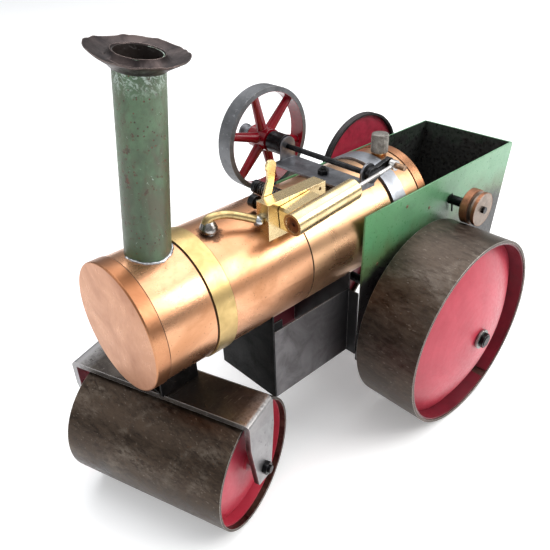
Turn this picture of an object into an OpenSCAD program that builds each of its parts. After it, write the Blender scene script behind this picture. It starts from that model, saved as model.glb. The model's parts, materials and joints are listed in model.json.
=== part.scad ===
// Model steam road roller with a single oscillating cylinder, built from sheet and tube.
// Millimetres, +Z up, rolls on z = 0, front of the vehicle towards -Y, left-hand side +X.

/* [Boiler] */
// outside diameter of the boiler end caps
boiler_d = 63.5; // [56:0.5:72]
// length over both end caps
boiler_len = 192; // [170:1:215]
// height of the boiler axis above the ground
boiler_z = 119.5; // [112:0.5:126]
// wall of the copper barrel
barrel_wall = 1.2; // [0.8:0.1:2]
// turned-over edge of the end caps
cap_flange = 7; // [4:0.5:12]
// width of the brass smokebox band
band_w = 10.4; // [6:0.2:14]
// width of the steel hold-down strap
strap_w = 11; // [8:0.5:15]

/* [Chimney] */
// outside diameter of the chimney tube
chimney_d = 20.6; // [14:0.2:26]
// height of the chimney mouth above the ground
chimney_top = 232; // [200:1:250]
// backward lean of the chimney, degrees
chimney_lean = 5.9; // [0:0.1:8]
// rim diameter of the flared crown
crown_d = 38.4; // [30:0.2:52]

/* [Tender] */
// thickness of the side plates
plate_t = 1; // [0.8:0.1:1.6]
// height of the side plate top edge above the ground
plate_top = 137.3; // [130:0.5:144]
// distance from boiler front to tender back
tender_y = 281.5; // [262:0.5:300]

/* [Rear wheels] */
// rear wheel diameter
wheel_d = 117; // [104:0.5:126]
// rear wheel tread width
wheel_w = 39; // [30:0.5:46]
// tread sheet thickness
tread_t = 1.6; // [1:0.1:2.5]
// rear axle diameter
axle_d = 6; // [4:0.5:8]

/* [Front roll] */
// front roll diameter
roll_d = 70; // [60:0.5:74]
// front roll length
roll_len = 94; // [80:0.5:104]
// resting steer angle of the front roll, degrees
steer_deg = 19.4; // [0:0.1:24]
// width of the fork strip
fork_w = 23; // [16:0.5:28]
// thickness of the fork strip
fork_t = 3; // [2:0.25:4]
// front axle diameter
front_axle_d = 4; // [3:0.25:6]

/* [Engine] */
// outside diameter of the cylinder
cyl_d = 10.8; // [9:0.1:12.6]
// cylinder bore
bore_d = 8; // [6:0.1:9.4]
// crank throw
throw = 13; // [9:0.25:13.5]
// crankshaft diameter
shaft_d = 3; // [2:0.25:4]
// flywheel diameter
flywheel_d = 60.4; // [48:0.2:64]
// flywheel rim width
flywheel_w = 10; // [7:0.25:13]

/* [Drive] */
// diameter of the large pulley on the second shaft
big_pulley_d = 74.4; // [60:0.2:80]
// second shaft diameter
lay_d = 4; // [3:0.25:5]

/* [Hidden] */
$fn = 96;
run = 0.05;                        // radial running clearance of a pin in its bore
gap = 0.4;                         // clearance between parts that move past each other
front_y = -128.088;                // boiler front face in the frame of the part
boiler_r = boiler_d/2;
barrel_r = boiler_r - 0.5;
band_y = 33.7;
joint_y = 94.6;
strap_y = 161;
strap_t = 1;
plate_in = boiler_r + 0.85;        // inner face of the side plates
plate_out = plate_in + plate_t;
plate_y = 131;
axle_y = 180;
wheel_in = plate_out + 6.4;
wheel_out = wheel_in + wheel_w;
wheel_r = wheel_d/2;
roll_r = roll_d/2;
king_y = 23.3;
fork_in = roll_len/2 + 2;
fork_far = roll_len/2 + 7.2;
fork_top = roll_d + 1 + fork_t;
lay_y = 211.4;
lay_z = 120.5;
roller_r = sqrt(pow(lay_y - axle_y, 2) + pow(lay_z - wheel_r, 2)) - wheel_r - gap;
shaft_y = 136;
shaft_z = 158.9;
tab_x = 28.4;                      // inner face of the bearing tabs
tab_t = 1.2;
cyl_x = 35.5;
piv_y = 91;
piv_z = 156.2;
crank_deg = 11.4;                  // resting crank angle above the level
pin_y = shaft_y + throw*cos(crank_deg);
pin_z = shaft_z + throw*sin(crank_deg);
cyl_deg = atan((pin_z - piv_z)/(pin_y - piv_y));
rod_reach = sqrt(pow(pin_y - piv_y, 2) + pow(pin_z - piv_z, 2));
cyl_front = -15.2;
cyl_rear = 27.6;
piston_len = 6;
face_x = 22;                       // port face of the fixed block
block_x = 14;
block_y = 73.9;
block_top = 160.5;
split_y = 87.5;
lever_y = 80;
lever_z = 155.4;
web_x = tab_x + tab_t + 0.9;
web_t = 2.4;
rod_pin_d = 3;
valve_x = 3;
valve_y = 179;
base_z = 46.5;                     // lower edge of the firebox
outlet_x = 6.4;
outlet_y = 51;

// ---- helpers -------------------------------------------------------------
module place() translate([0, front_y, 0]) children();
module xcyl(r, a, b) translate([a, 0, 0]) rotate([0, 90, 0]) cylinder(r = r, h = b - a);
module ycyl(r, a, b) translate([0, a, 0]) rotate([-90, 0, 0]) cylinder(r = r, h = b - a);
module at_boiler() translate([0, 0, boiler_z]) children();
module at_steer() translate([0, king_y, 0]) rotate([0, 0, steer_deg]) children();
module at_shaft() translate([0, shaft_y, shaft_z]) children();
module at_lay() translate([0, lay_y, lay_z]) children();
module at_axle() translate([0, axle_y, wheel_r]) children();
module at_piv() translate([0, piv_y, piv_z]) rotate([cyl_deg, 0, 0]) children();
module box(a, b) translate(a) cube(b - a);
module mirror_x(on) mirror([on ? 1 : 0, 0, 0]) children();
module hexnut(af, h) cylinder(d = af/cos(30), h = h, $fn = 6);
// sheet outline in the y-z plane, x from a to b
module yz_sheet(a, b) translate([a, 0, 0]) rotate([90, 0, 90]) linear_extrude(b - a) children();

// ---- boiler --------------------------------------------------------------
module boiler_barrel() place() color("#c8794f") difference() {
  at_boiler() difference() {
    ycyl(barrel_r, 1, boiler_len - 1);
    ycyl(barrel_r - barrel_wall, 0, boiler_len);
    difference() { ycyl(barrel_r + 1, joint_y, joint_y + 0.5); ycyl(barrel_r - 0.3, joint_y - 1, joint_y + 2); }
  }
  chimney_core(chimney_d/2, -4);
  translate([outlet_x, outlet_y, boiler_z]) cylinder(r = 3, h = 60);
  translate([valve_x, valve_y, boiler_z]) cylinder(r = 2.5, h = 60);
}

module end_cap() {
  difference() {
    union() {
      ycyl(boiler_r, 0.8, cap_flange);
      ycyl(boiler_r - 0.8, 0, 0.8);
      translate([0, 0.8, 0]) rotate([-90, 0, 0]) rotate_extrude() translate([boiler_r - 0.8, 0]) circle(0.8, $fn = 32);
    }
    ycyl(barrel_r, 1, cap_flange + 1);
  }
}
module boiler_front_cap() place() color("#c98a68") at_boiler() end_cap();
module boiler_rear_cap() place() color("#c98a68") at_boiler()
  translate([0, boiler_len, 0]) rotate([0, 0, 180]) end_cap();

module smokebox_band() place() color("#c9a14a") difference() {
  at_boiler() difference() {
    ycyl(barrel_r + 0.7, band_y, band_y + band_w);
    ycyl(barrel_r, band_y - 1, band_y + band_w + 1);
  }
}

module boiler_strap() place() color("#8d9297") difference() {
  at_boiler() difference() {
    ycyl(barrel_r + 0.3 + strap_t, strap_y, strap_y + strap_w);
    ycyl(barrel_r, strap_y - 1, strap_y + strap_w + 1);
    box([-50, strap_y - 2, -50], [50, strap_y + strap_w + 2, 6]);
  }
  rivet_holes(1);
}

// ---- chimney -------------------------------------------------------------
module chimney_core(r, lift) translate([0, 22.1, boiler_z + 30]) rotate([-chimney_lean, 1.4, 0])
  translate([0, 0, lift]) cylinder(r = r, h = 140);
module at_mouth() translate([(chimney_top - boiler_z - 30)*tan(1.4), 22.1 + (chimney_top - boiler_z - 30)*tan(chimney_lean),
  chimney_top]) rotate([-6.6, 9.4, 0]) children();
module chimney_tube() place() color("#5d8f68") difference() {
  chimney_core(chimney_d/2, -4);
  chimney_core(chimney_d/2 - 1, -10);
  at_mouth() translate([-60, -60, 0]) cube([120, 120, 120]);
}
module chimney_crown() place() color("#4a4443") difference() {
  at_mouth() rotate_extrude() polygon([
    [chimney_d/2 - 1, -4.2], [chimney_d/2 + 0.9, -5], [crown_d/2, 0.3], [crown_d/2, 0.9],
    [crown_d/2 - 0.4, 1], [chimney_d/2 - 1, -3]]);
  chimney_core(chimney_d/2, -4);
}

// ---- steam way -----------------------------------------------------------
module steam_outlet() place() color("#3b3836") difference() {
  translate([outlet_x, outlet_y, boiler_z]) union() {
    translate([0, 0, 28.5]) cylinder(r = 2.9, h = 5);
    translate([0, 0, 31.2]) cylinder(r = 4.2, h = 2.6);
    translate([0, 0, 33.8]) cylinder(r1 = 4.2, r2 = 2.7, h = 2.6);
    translate([0, 0, 36.4]) sphere(r = 2.6);
  }
  at_boiler() ycyl(barrel_r - barrel_wall, 0, 100);
  translate([outlet_x, outlet_y, 100]) cylinder(r = 1.3, h = 55);
  pipe_leg(0);
}
pipe_run = [[outlet_x, outlet_y + 1, boiler_z + 36.7], [outlet_x + 2.2, outlet_y + 9, boiler_z + 36.8],
  [outlet_x + 6.2, outlet_y + 15.5, boiler_z + 35], [block_x + 3.3, 74.4, piv_z - 5]];
module pipe_leg(i) let (a = pipe_run[i], b = pipe_run[i + 1], d = b - a, l = norm(d))
  translate(a) rotate([0, acos(d.z/l), atan2(d.y, d.x)]) {
    cylinder(r = 1.9, h = l);
    if (i > 0) sphere(r = 2.15);
  }
module steam_pipe() place() color("#b8934a") for (i = [0:2]) pipe_leg(i);

// ---- fixed port block and valve body -------------------------------------
module under_boiler() at_boiler() ycyl(barrel_r, -10, 220);
module valve_body() place() color("#c9a14a") difference() {
  box([block_x, block_y, 142], [face_x, split_y - 0.05, block_top]);
  under_boiler();
  translate([0, lever_y, lever_z]) xcyl(1.5 + run, block_x - 1, face_x - 2);
  pipe_leg(2);
}
module port_block() place() color("#c9a14a") difference() {
  box([block_x, split_y + 0.05, 142], [face_x, block_y + 38.4, block_top]);
  under_boiler();
  translate([0, piv_y, piv_z]) xcyl(1.5 + run, block_x - 8, face_x + 1);
  translate([0, block_y + 34.6, block_top - 3]) xcyl(0.9, face_x - 2.5, face_x + 1);
}

// ---- bearings ------------------------------------------------------------
module bearing_bracket() place() color("#7c8186") difference() {
  union() {
    box([-tab_x - tab_t, shaft_y - 11, boiler_z + barrel_r], [tab_x + tab_t, shaft_y + 5.5, boiler_z + barrel_r + tab_t]);
    for (s = [-1, 1]) {
      translate([s > 0 ? tab_x : -tab_x - tab_t, 0, 0]) {
        box([0, shaft_y - 5.5, boiler_z + barrel_r + tab_t/2], [tab_t, shaft_y + 5.5, shaft_z]);
        at_shaft() xcyl(5.5, 0, tab_t);
      }
    }
  }
  at_shaft() xcyl(shaft_d/2 + run, -60, 60);
  translate([1.5, shaft_y - 3, 140]) cylinder(r = 1.5, h = 30);
}
module bracket_nut() place() color("#2a2a2b") translate([1.5, shaft_y - 3, boiler_z + barrel_r]) union() {
  translate([0, 0, 0.02]) cylinder(r = 1.49, h = 4.9);
  translate([0, 0, tab_t]) hexnut(5.5, 2.4);
}

// ---- side plates and tender ----------------------------------------------
rivets = [[167.4, 130.7], [190, 122], [143.6, 103.8]];
module rivet_holes(r) for (p = rivets) translate([0, p[0], p[1]]) xcyl(r, -60, 60);
module plate_outline() polygon([[plate_y, plate_top], [tender_y - 1.2, plate_top], [tender_y, plate_top - 1.5],
  [273.2, 72], [262, 50], [148, 50], [138, 44], [136.5, 40.6], [131.2, 40.6], [129.8, 42]]);
module side_plate() difference() {
  yz_sheet(plate_in, plate_out) plate_outline();
  rivet_holes(1);
  at_axle() xcyl(axle_d/2, 0, 60);
  at_lay() xcyl(lay_d/2 + run, 0, 60);
}
module side_plate_left() place() color("#5d9a72") side_plate();
module side_plate_right() place() color("#5d9a72") mirror_x(true) side_plate();
module plate_rivets() place() color("#8a4b3a") for (s = [0, 1]) mirror_x(s == 1)
  for (i = [0:2]) translate([0, rivets[i][0], rivets[i][1]])
    xcyl(0.99, i == 0 ? plate_in - 2.3 : plate_in - 0.9, plate_out + 0.15);
module tender_floor() place() color("#3a4a3f") box([-plate_in, 196, 74], [plate_in, 272.2, 75]);
module tender_back() place() color("#5d9a72") yz_sheet(-plate_in, plate_in)
  polygon([[tender_y - 1.6, plate_top - 0.2], [tender_y - 0.4, plate_top - 0.2], [273.48, 74], [272.28, 74]]);

// ---- rear axle (fixed) ---------------------------------------------------
axle_end = wheel_out + 9.2;
module rear_axle() place() color("#6d7074") at_axle() xcyl(axle_d/2, -axle_end, axle_end);
module rear_axle_washers() place() color("#9a9ea2") at_axle() for (s = [0, 1]) mirror_x(s == 1)
  difference() { xcyl(6, wheel_out + 5.4, wheel_out + 6.4); xcyl(axle_d/2, 0, 120); }
module rear_axle_nuts() place() color("#2d2e30") at_axle() for (s = [0, 1]) mirror_x(s == 1)
  difference() {
    translate([wheel_out + 6.4, 0, 0]) rotate([0, 90, 0]) hexnut(8, 2.4);
    xcyl(axle_d/2, 0, 120);
  }

// ---- firebox -------------------------------------------------------------
box_l = 26;
box_r = -18.8;
module firebox_casing() place() color("#7b7f83") difference() {
  union() {
    box([box_l - 0.8, 71.6, base_z], [box_l, 130, 91]);
    box([box_r, 71.6, base_z], [box_r + 0.8, 130, 101]);
    box([box_r, 129.2, base_z], [box_l, 130, 101]);
    box([box_l - 1, 129.2, base_z], [plate_in, 130, 90]);
    box([-plate_in, 129.2, base_z], [box_r + 1, 130, 90]);
  }
  under_boiler();
}
module firebox_flap() place() color("#232425") difference() {
  union() {
    box([box_r, 70.6, base_z], [box_l, 71.4, 101]);
    box([box_l - 1.7, 71, base_z + 4], [box_l - 0.85, 78, 96]);
    box([box_r + 0.85, 71, base_z + 4], [box_r + 1.7, 78, 96]);
  }
  under_boiler();
}

// ---- steering ------------------------------------------------------------
module perch_saddle() place() color("#55585b") difference() {
  at_steer_box();
  at_boiler() ycyl(barrel_r + 0.7, -10, 100);
  translate([0, king_y, 60]) cylinder(r = 2 + run, h = 20);
}
module at_steer_box() {
  box([-8, king_y - 11, fork_top + gap], [8, king_y + 11, fork_top + gap + 1.4]);
  for (s = [-1, 1]) box([s*7.4 - 0.6, king_y - 11, fork_top + gap], [s*7.4 + 0.6, king_y + 11, 92]);
}
module fork() place() color("#5a5c5e") at_steer() difference() {
  intersection() {
    difference() {
      union() {
        box([-fork_far, -20, 22], [fork_in, 20, fork_top]);
        box([-fork_far - fork_t, -20, 22], [fork_in + fork_t, 20, fork_top - fork_t]);
        translate([fork_in, 0, fork_top - fork_t]) ycyl(fork_t, -20, 20);
        translate([-fork_far, 0, fork_top - fork_t]) ycyl(fork_t, -20, 20);
      }
      box([-fork_far, -21, 0], [fork_in, 21, fork_top - fork_t]);
    }
    yz_sheet(-80, 80) polygon([[-fork_w/2, fork_top], [fork_w/2, fork_top], [fork_w/2, 56],
      [6.5, 24.5], [-6, 27.5], [-fork_w/2, 58]]);
  }
  translate([0, 0, roll_r]) xcyl(front_axle_d/2, -90, 90);
  cylinder(r = 2, h = 100);
}
module kingpin() place() color("#8e9296") at_steer() translate([0, 0, fork_top - fork_t])
  cylinder(r = 1.99, h = fork_t + gap + 1.4 + 4.6);
module steering_nuts() place() color("#2d2e30") at_steer() {
  translate([0, 0, fork_top + gap + 1.4 + 0.4]) difference() { hexnut(6.4, 2.6); cylinder(r = 1.99, h = 9); }
  translate([0, 0, roll_r]) for (e = [fork_in + fork_t, -fork_far - fork_t - 2.6]) difference() {
    translate([e, 0, 0]) rotate([0, 90, 0]) hexnut(6.4, 2.6);
    xcyl(front_axle_d/2, -90, 90);
  }
}
module front_axle() place() color("#8e9296") at_steer() translate([0, 0, roll_r])
  xcyl(front_axle_d/2, -fork_far - fork_t - 4, fork_in + fork_t + 4);

// ---- front roll ----------------------------------------------------------
module front_roll_drum() place() color("#5a5048") at_steer() translate([0, 0, roll_r]) difference() {
  xcyl(roll_r, -roll_len/2, roll_len/2);
  xcyl(roll_r - 1.3, -roll_len, roll_len);
}
module front_roll_ends() place() color("#b3202c") at_steer() translate([0, 0, roll_r]) {
  for (s = [0, 1]) mirror_x(s == 1) translate([roll_len/2, 0, 0])
    rotate([0, 90, 0]) rotate_extrude() polygon([[front_axle_d/2 + run, -6.2], [front_axle_d/2 + run, -3], [5, -3],
      [5, -4.6], [20, -5.6], [29, -7.4], [roll_r - 2.3, -9.4], [roll_r - 2.3, -3.4], [roll_r - 1.3, -3.4],
      [roll_r - 1.3, -10.4], [roll_r - 2.3, -10.4], [29, -8.4], [20, -6.6]]);
  difference() { xcyl(4, -roll_len/2 + 6, roll_len/2 - 6); xcyl(front_axle_d/2 + run, -60, 60); }
}

// ---- rear wheels ---------------------------------------------------------
function dish(r) = wheel_out - 9.5 + 14.2*(1 - pow(r/(wheel_r - tread_t - 1), 2));
module wheel_tread() at_axle() difference() {
  xcyl(wheel_r, wheel_in, wheel_out);
  xcyl(wheel_r - tread_t, wheel_in - 1, wheel_out + 1);
}
dish_steps = [for (i = [0:12]) 5.2 + i*(wheel_r - tread_t - 1 - 5.2)/12];
module wheel_dish() at_axle() rotate([0, 90, 0]) rotate_extrude() polygon(concat(
  [for (r = dish_steps) [r, dish(r)]], [[wheel_r - tread_t, wheel_out - 9.5], [wheel_r - tread_t, wheel_out - 11.5]],
  [for (i = [12:-1:0]) [dish_steps[i], dish(dish_steps[i]) - 1]]));
module wheel_hub() at_axle() difference() {
  union() {
    xcyl(5.2, wheel_in - 4, wheel_out + 5);
    xcyl(wheel_r - tread_t, wheel_in + 3, wheel_in + 4);
  }
  xcyl(axle_d/2 + run, 0, 120);
}
module wheel_lining() at_axle() difference() {
  xcyl(wheel_r - tread_t, wheel_out - 9.4, wheel_out - 0.6);
  xcyl(wheel_r - tread_t - 1, wheel_out - 12, wheel_out + 1);
  rotate([-60, 0, 0]) box([wheel_out - 12, wheel_r - 6, -2.4], [wheel_out + 1, wheel_r + 1, 2.4]);
}
module left_wheel_tread() place() color("#6e655c") wheel_tread();
module left_wheel_dish() place() color("#c23a48") wheel_dish();
module left_wheel_hub() place() color("#a02a34") wheel_hub();
module left_wheel_lining() place() color("#8c2530") wheel_lining();
module right_wheel_tread() place() color("#6e655c") mirror_x(true) wheel_tread();
module right_wheel_dish() place() color("#c23a48") mirror_x(true) wheel_dish();
module right_wheel_hub() place() color("#a02a34") mirror_x(true) wheel_hub();
module right_wheel_lining() place() color("#8c2530") mirror_x(true) wheel_lining();

// ---- crankshaft ----------------------------------------------------------
module crankshaft() place() color("#1f1f21") at_shaft() xcyl(shaft_d/2, -68, web_x + web_t);
module crank_web() place() color("#333436") at_shaft() rotate([crank_deg, 0, 0]) difference() {
  union() {
    xcyl(4.2, web_x, web_x + web_t);
    translate([0, throw, 0]) xcyl(3.2, web_x, web_x + web_t);
    box([web_x, 0, -3], [web_x + web_t, throw, 3]);
  }
  xcyl(shaft_d/2, -60, 60);
}
module flywheel() place() color("#b01f2b") at_shaft() {
  difference() { xcyl(flywheel_d/2, -43.6 - flywheel_w, -43.6); xcyl(flywheel_d/2 - 3, -70, -30); }
  difference() { xcyl(6.6, -56, -42); xcyl(shaft_d/2, -70, 0); }
  for (i = [0:5]) rotate([44 + 60*i, 0, 0]) translate([-43.6 - flywheel_w/2, 5, 0]) rotate([-90, 0, 0])
    cylinder(r1 = 3.1, r2 = 2.3, h = flywheel_d/2 - 7.4);
}
module shaft_collar() place() color("#3b3b3d") at_shaft() difference() {
  xcyl(6, -40.6, -tab_x - tab_t - gap);
  xcyl(shaft_d/2, -60, 0);
}
module drive_pulley() place() color("#85898d") at_shaft() difference() {
  rotate([0, 90, 0]) rotate_extrude() polygon([[0, -65.6], [5, -65.6], [5, -64.4], [3.6, -62.6], [3.6, -61.2],
    [5, -59.4], [5, -58.2], [0, -58.2]]);
  xcyl(shaft_d/2, -70, 0);
}

// ---- oscillating cylinder ------------------------------------------------
module cylinder_tube() place() color("#d0ab55") at_piv() translate([cyl_x, 0, 0]) difference() {
  union() {
    ycyl(cyl_d/2, cyl_front, cyl_rear - 1.2);
    translate([0, cyl_rear - 1.2, 0]) rotate([-90, 0, 0]) cylinder(r1 = cyl_d/2, r2 = cyl_d/2 - 0.9, h = 1.2);
  }
  ycyl(bore_d/2, cyl_front - 1, cyl_rear + 1);
}
module cylinder_block() place() color("#c9a14a") at_piv() difference() {
  yz_block();
  translate([cyl_x, 0, 0]) ycyl(cyl_d/2, -40, 60);
  xcyl(1.49, face_x, cyl_x - cyl_d/2);
}
module yz_block() yz_sheet(face_x + gap, cyl_x - 3.4)
  polygon([[-9.5, -10.4], [-11, -8.6], [-11, 1.4], [-9.8, 2.5], [9.5, 2.5], [12, 0.4], [12, -10.4]]);
module cylinder_plug() place() color("#8a4f30") at_piv() translate([cyl_x, 0, 0]) difference() {
  ycyl(bore_d/2, cyl_front + 0.9, cyl_front + 4.4);
  ycyl(1.1, cyl_front - 1, cyl_front + 1.9);
}
module trunnion() place() color("#8e9296") at_piv() xcyl(1.49, -7, cyl_x - cyl_d/2 - 0.2);
module trunnion_spring() place() color("#2c2c2e") at_piv() for (i = [0:8])
  translate([-3.1 + i*1.95, 0, 0]) rotate([0, 90, 0]) rotate_extrude() translate([3, 0]) circle(0.42, $fn = 24);
module trunnion_nut() place() color("#1f1f21") at_piv() difference() {
  xcyl(3.4, -6, -3.6);
  xcyl(1.49, -20, 20);
}
piston_at = rod_reach - 35;
module piston() place() color("#b6babd") at_piv() translate([cyl_x, piston_at, 0]) difference() {
  ycyl(bore_d/2 - run, -piston_len/2, piston_len/2);
  ycyl(1, -0.5, 10);
}
module piston_rod() place() color("#c2c6c9") at_piv() translate([cyl_x, 0, 0]) difference() {
  union() {
    ycyl(1, piston_at - 0.5, rod_reach - 1);
    translate([0, rod_reach, 0]) xcyl(2.7, -1.6, 1.6);
  }
  translate([0, rod_reach, 0]) xcyl(rod_pin_d/2, -5, 5);
}
module crank_pin() place() color("#6d4a33") at_piv() translate([0, rod_reach, 0]) xcyl(rod_pin_d/2, web_x + web_t + gap, 42.4);

// ---- regulator lever -----------------------------------------------------
module valve_lever() place() color("#cdaa5e") difference() {
  union() {
    translate([0, lever_y, lever_z]) xcyl(3.4, block_x - 1.7, block_x - 0.4);
    translate([0, 84.4, 174]) xcyl(3.1, block_x - 1.7, block_x - 0.4);
    yz_sheet(block_x - 1.7, block_x - 0.4)
      polygon([[77.4, 157], [82.6, 155.6], [86.2, 167.5], [87.2, 173], [81.7, 174], [82.2, 168]]);
  }
  translate([0, lever_y, lever_z]) xcyl(1.49, 0, 40);
}
module lever_spindle() place() color("#8e9296") translate([0, lever_y, lever_z]) xcyl(1.49, 3.4, face_x - 2.6);
module lever_nut() place() color("#1f1f21") translate([0, lever_y, lever_z]) difference() {
  xcyl(3.3, 4, 7.4);
  xcyl(1.49, 0, 40);
}

// ---- second shaft --------------------------------------------------------
module layshaft() place() color("#2f2f31") at_lay() {
  xcyl(lay_d/2, -plate_out - 5.8, 57.6);
  xcyl(2.9, plate_out + gap, 46);
  translate([plate_out + gap + 1.4, 0, 0]) rotate([12, 0, 0]) translate([0, 0, -8.6]) cylinder(r = 0.55, h = 12.6);
}
module big_pulley() place() color("#b3202c") at_lay() {
  rotate([0, 90, 0]) rotate_extrude() polygon([[lay_d/2, -plate_out - 1.6], [5, -plate_out - 1.6],
    [5, -plate_out - 3.6], [big_pulley_d/2 - 1.6, -plate_out - 3.6], [big_pulley_d/2 - 1.6, -plate_out - 1.4],
    [big_pulley_d/2, -plate_out - 1.4], [big_pulley_d/2 - 0.9, -plate_out - 3], [big_pulley_d/2 - 0.9, -plate_out - 4],
    [big_pulley_d/2, -plate_out - 5.6], [big_pulley_d/2 - 1.6, -plate_out - 5.6], [big_pulley_d/2 - 1.6, -plate_out - 4.6],
    [lay_d/2, -plate_out - 4.6]]);
}
module friction_roller() place() color("#7a4a2c") at_lay() rotate([0, 90, 0]) rotate_extrude() polygon([
  [lay_d/2, 46], [roller_r - 1, 46], [roller_r, 46.8], [roller_r, 51], [roller_r - 2.4, 52], [roller_r - 2.4, 53.2],
  [roller_r - 0.4, 54], [roller_r - 0.4, 56], [lay_d/2, 56]]);

// ---- safety valve --------------------------------------------------------
module safety_valve_base() place() color("#c9a14a") difference() {
  translate([valve_x, valve_y, boiler_z + 28]) union() { cylinder(r = 2.49, h = 7.4); translate([0, 0, 3.6]) cylinder(r = 3.6, h = 2.6); }
  at_boiler() ycyl(barrel_r - barrel_wall, 100, 190);
  translate([valve_x, valve_y, 100]) cylinder(r = 1.2, h = 80);
}
module safety_valve_cap() place() color("#8f8f8c") translate([valve_x, valve_y, boiler_z + 28]) {
  difference() {
    translate([0, 0, 4.2]) cylinder(r = 5, h = 10.8);
    translate([0, 0, 3]) cylinder(r = 4.1, h = 4.8);
  }
  translate([0, 0, 0.5]) cylinder(r = 1.15, h = 8);
}

// ---- what is drawn -------------------------------------------------------
boiler_barrel();
boiler_front_cap();
boiler_rear_cap();
smokebox_band();
boiler_strap();
chimney_tube();
chimney_crown();
steam_outlet();
steam_pipe();
valve_body();
port_block();
bearing_bracket();
bracket_nut();
side_plate_left();
side_plate_right();
plate_rivets();
tender_floor();
tender_back();
rear_axle();
rear_axle_washers();
rear_axle_nuts();
firebox_casing();
firebox_flap();
perch_saddle();
safety_valve_base();
safety_valve_cap();
fork();
kingpin();
steering_nuts();
front_axle();
front_roll_drum();
front_roll_ends();
left_wheel_tread();
left_wheel_dish();
left_wheel_hub();
left_wheel_lining();
right_wheel_tread();
right_wheel_dish();
right_wheel_hub();
right_wheel_lining();
crankshaft();
crank_web();
flywheel();
shaft_collar();
drive_pulley();
cylinder_tube();
cylinder_block();
cylinder_plug();
trunnion();
trunnion_spring();
trunnion_nut();
piston();
piston_rod();
crank_pin();
valve_lever();
lever_spindle();
lever_nut();
layshaft();
big_pulley();
friction_roller();
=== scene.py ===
"""Looks of the model road roller: finishes for the CAD nodes, detailed pieces, light, camera."""
import json
import math

import bmesh
import bpy
from mathutils import Matrix, Vector, noise


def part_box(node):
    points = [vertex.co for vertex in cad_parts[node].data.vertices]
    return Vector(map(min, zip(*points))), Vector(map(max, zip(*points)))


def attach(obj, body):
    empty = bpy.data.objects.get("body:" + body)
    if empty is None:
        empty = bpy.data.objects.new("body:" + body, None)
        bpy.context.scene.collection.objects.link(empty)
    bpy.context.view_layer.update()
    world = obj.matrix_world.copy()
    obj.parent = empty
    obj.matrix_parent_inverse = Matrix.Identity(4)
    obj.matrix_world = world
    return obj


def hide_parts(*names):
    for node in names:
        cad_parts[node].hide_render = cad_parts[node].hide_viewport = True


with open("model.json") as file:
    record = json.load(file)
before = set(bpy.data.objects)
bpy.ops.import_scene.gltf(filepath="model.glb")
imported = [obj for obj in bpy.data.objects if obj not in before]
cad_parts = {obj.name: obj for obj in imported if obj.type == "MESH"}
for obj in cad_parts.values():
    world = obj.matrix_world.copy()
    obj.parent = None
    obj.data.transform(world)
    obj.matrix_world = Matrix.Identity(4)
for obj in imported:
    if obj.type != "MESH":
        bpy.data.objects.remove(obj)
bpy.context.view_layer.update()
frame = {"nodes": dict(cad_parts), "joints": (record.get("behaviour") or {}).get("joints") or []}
scene = bpy.context.scene
MM = 0.001
JOINTS = {j["name"]: j for j in frame["joints"]}

# places read from the frame, metres
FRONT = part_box("boiler_front_cap")[0].y      # front face of the boiler
CASING_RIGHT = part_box("firebox_flap")[0].x
CHIMNEY_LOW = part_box("chimney_tube")[0].z
CHIMNEY_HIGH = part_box("chimney_tube")[1].z
PLATE_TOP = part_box("side_plate_left")[1].z
TENDER_MIDDLE = 0.5 * (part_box("tender_floor")[0].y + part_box("tender_floor")[1].y)
# where the painted shade inside the tender begins
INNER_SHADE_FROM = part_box("tender_floor")[0].y + 0.004
CRANK = Vector(JOINTS["crank_spin"]["pos_m"])
LAY = Vector(JOINTS["second_shaft_spin"]["pos_m"])

# the CAD's own sizes, millimetres and degrees, y from the boiler's front face
BOILER_Z = 119.5
BARREL_R = 31.3                              # with a trace of tinning over the copper
CHIMNEY_Y, CHIMNEY_FOOT_Z = 22.1, 149.5      # where the chimney's axis meets the barrel
LEAN_BACK = math.tan(math.radians(5.9))
LEAN_SIDE = math.tan(math.radians(1.4))
OUTLET = (6.4, 51)
VALVE = (3, 179)
PIVOT = (91, 156.2)                          # y and z of the cylinder's trunnion
AXLE = (180, 58.5)                           # y and z of the rear axle
KING_Y = 23.3
STEER_DEG = 19.4
ROLL_R = 35.0


def at(x, y, z):
    """A point given from the boiler's front face, in millimetres."""
    return Vector((x * MM, FRONT + y * MM, z * MM))


# ---- camera and lights ------------------------------------------------------
CAMERA_AT = (0.2041, -0.2173, 0.2797)
CAMERA_TURN, CAMERA_DIP, CAMERA_ROLL = 48.17, 33.17, 2.20
FOCAL, SENSOR = 38.976, 36
LENS_SHIFT = (0.0078, 0.0110)


def make_camera():
    """A camera that turns about the upright, looks down and leans a little."""
    az, el, roll = (math.radians(v) for v in (CAMERA_TURN, CAMERA_DIP, CAMERA_ROLL))
    back = Vector((math.sin(az) * math.cos(el), -math.cos(az) * math.cos(el), math.sin(el)))
    side = (-back).cross(Vector((0, 0, 1))).normalized()
    down = (-back).cross(side)
    right = math.cos(roll) * side + math.sin(roll) * down
    below = -math.sin(roll) * side + math.cos(roll) * down
    data = bpy.data.cameras.new("camera")
    data.lens, data.sensor_width = FOCAL, SENSOR
    data.shift_x, data.shift_y = LENS_SHIFT
    data.clip_start, data.clip_end = 0.01, 50
    cam = bpy.data.objects.new("camera", data)
    scene.collection.objects.link(cam)
    m = Matrix((right, -below, back)).transposed().to_4x4()
    m.translation = Vector(CAMERA_AT)
    cam.matrix_world = m
    scene.camera = cam


def area_light(name, spot, aim, size, power, colour=(1, 1, 1)):
    """A soft panel at spot that faces aim, sizes in metres and power in watts."""
    data = bpy.data.lights.new(name, "AREA")
    data.shape, data.size, data.size_y = "RECTANGLE", size[0], size[1]
    data.energy, data.color = power, colour
    o = bpy.data.objects.new(name, data)
    scene.collection.objects.link(o)
    o.location = spot
    o.rotation_euler = (Vector(aim) - Vector(spot)).to_track_quat("-Z", "Y").to_euler()


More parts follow.
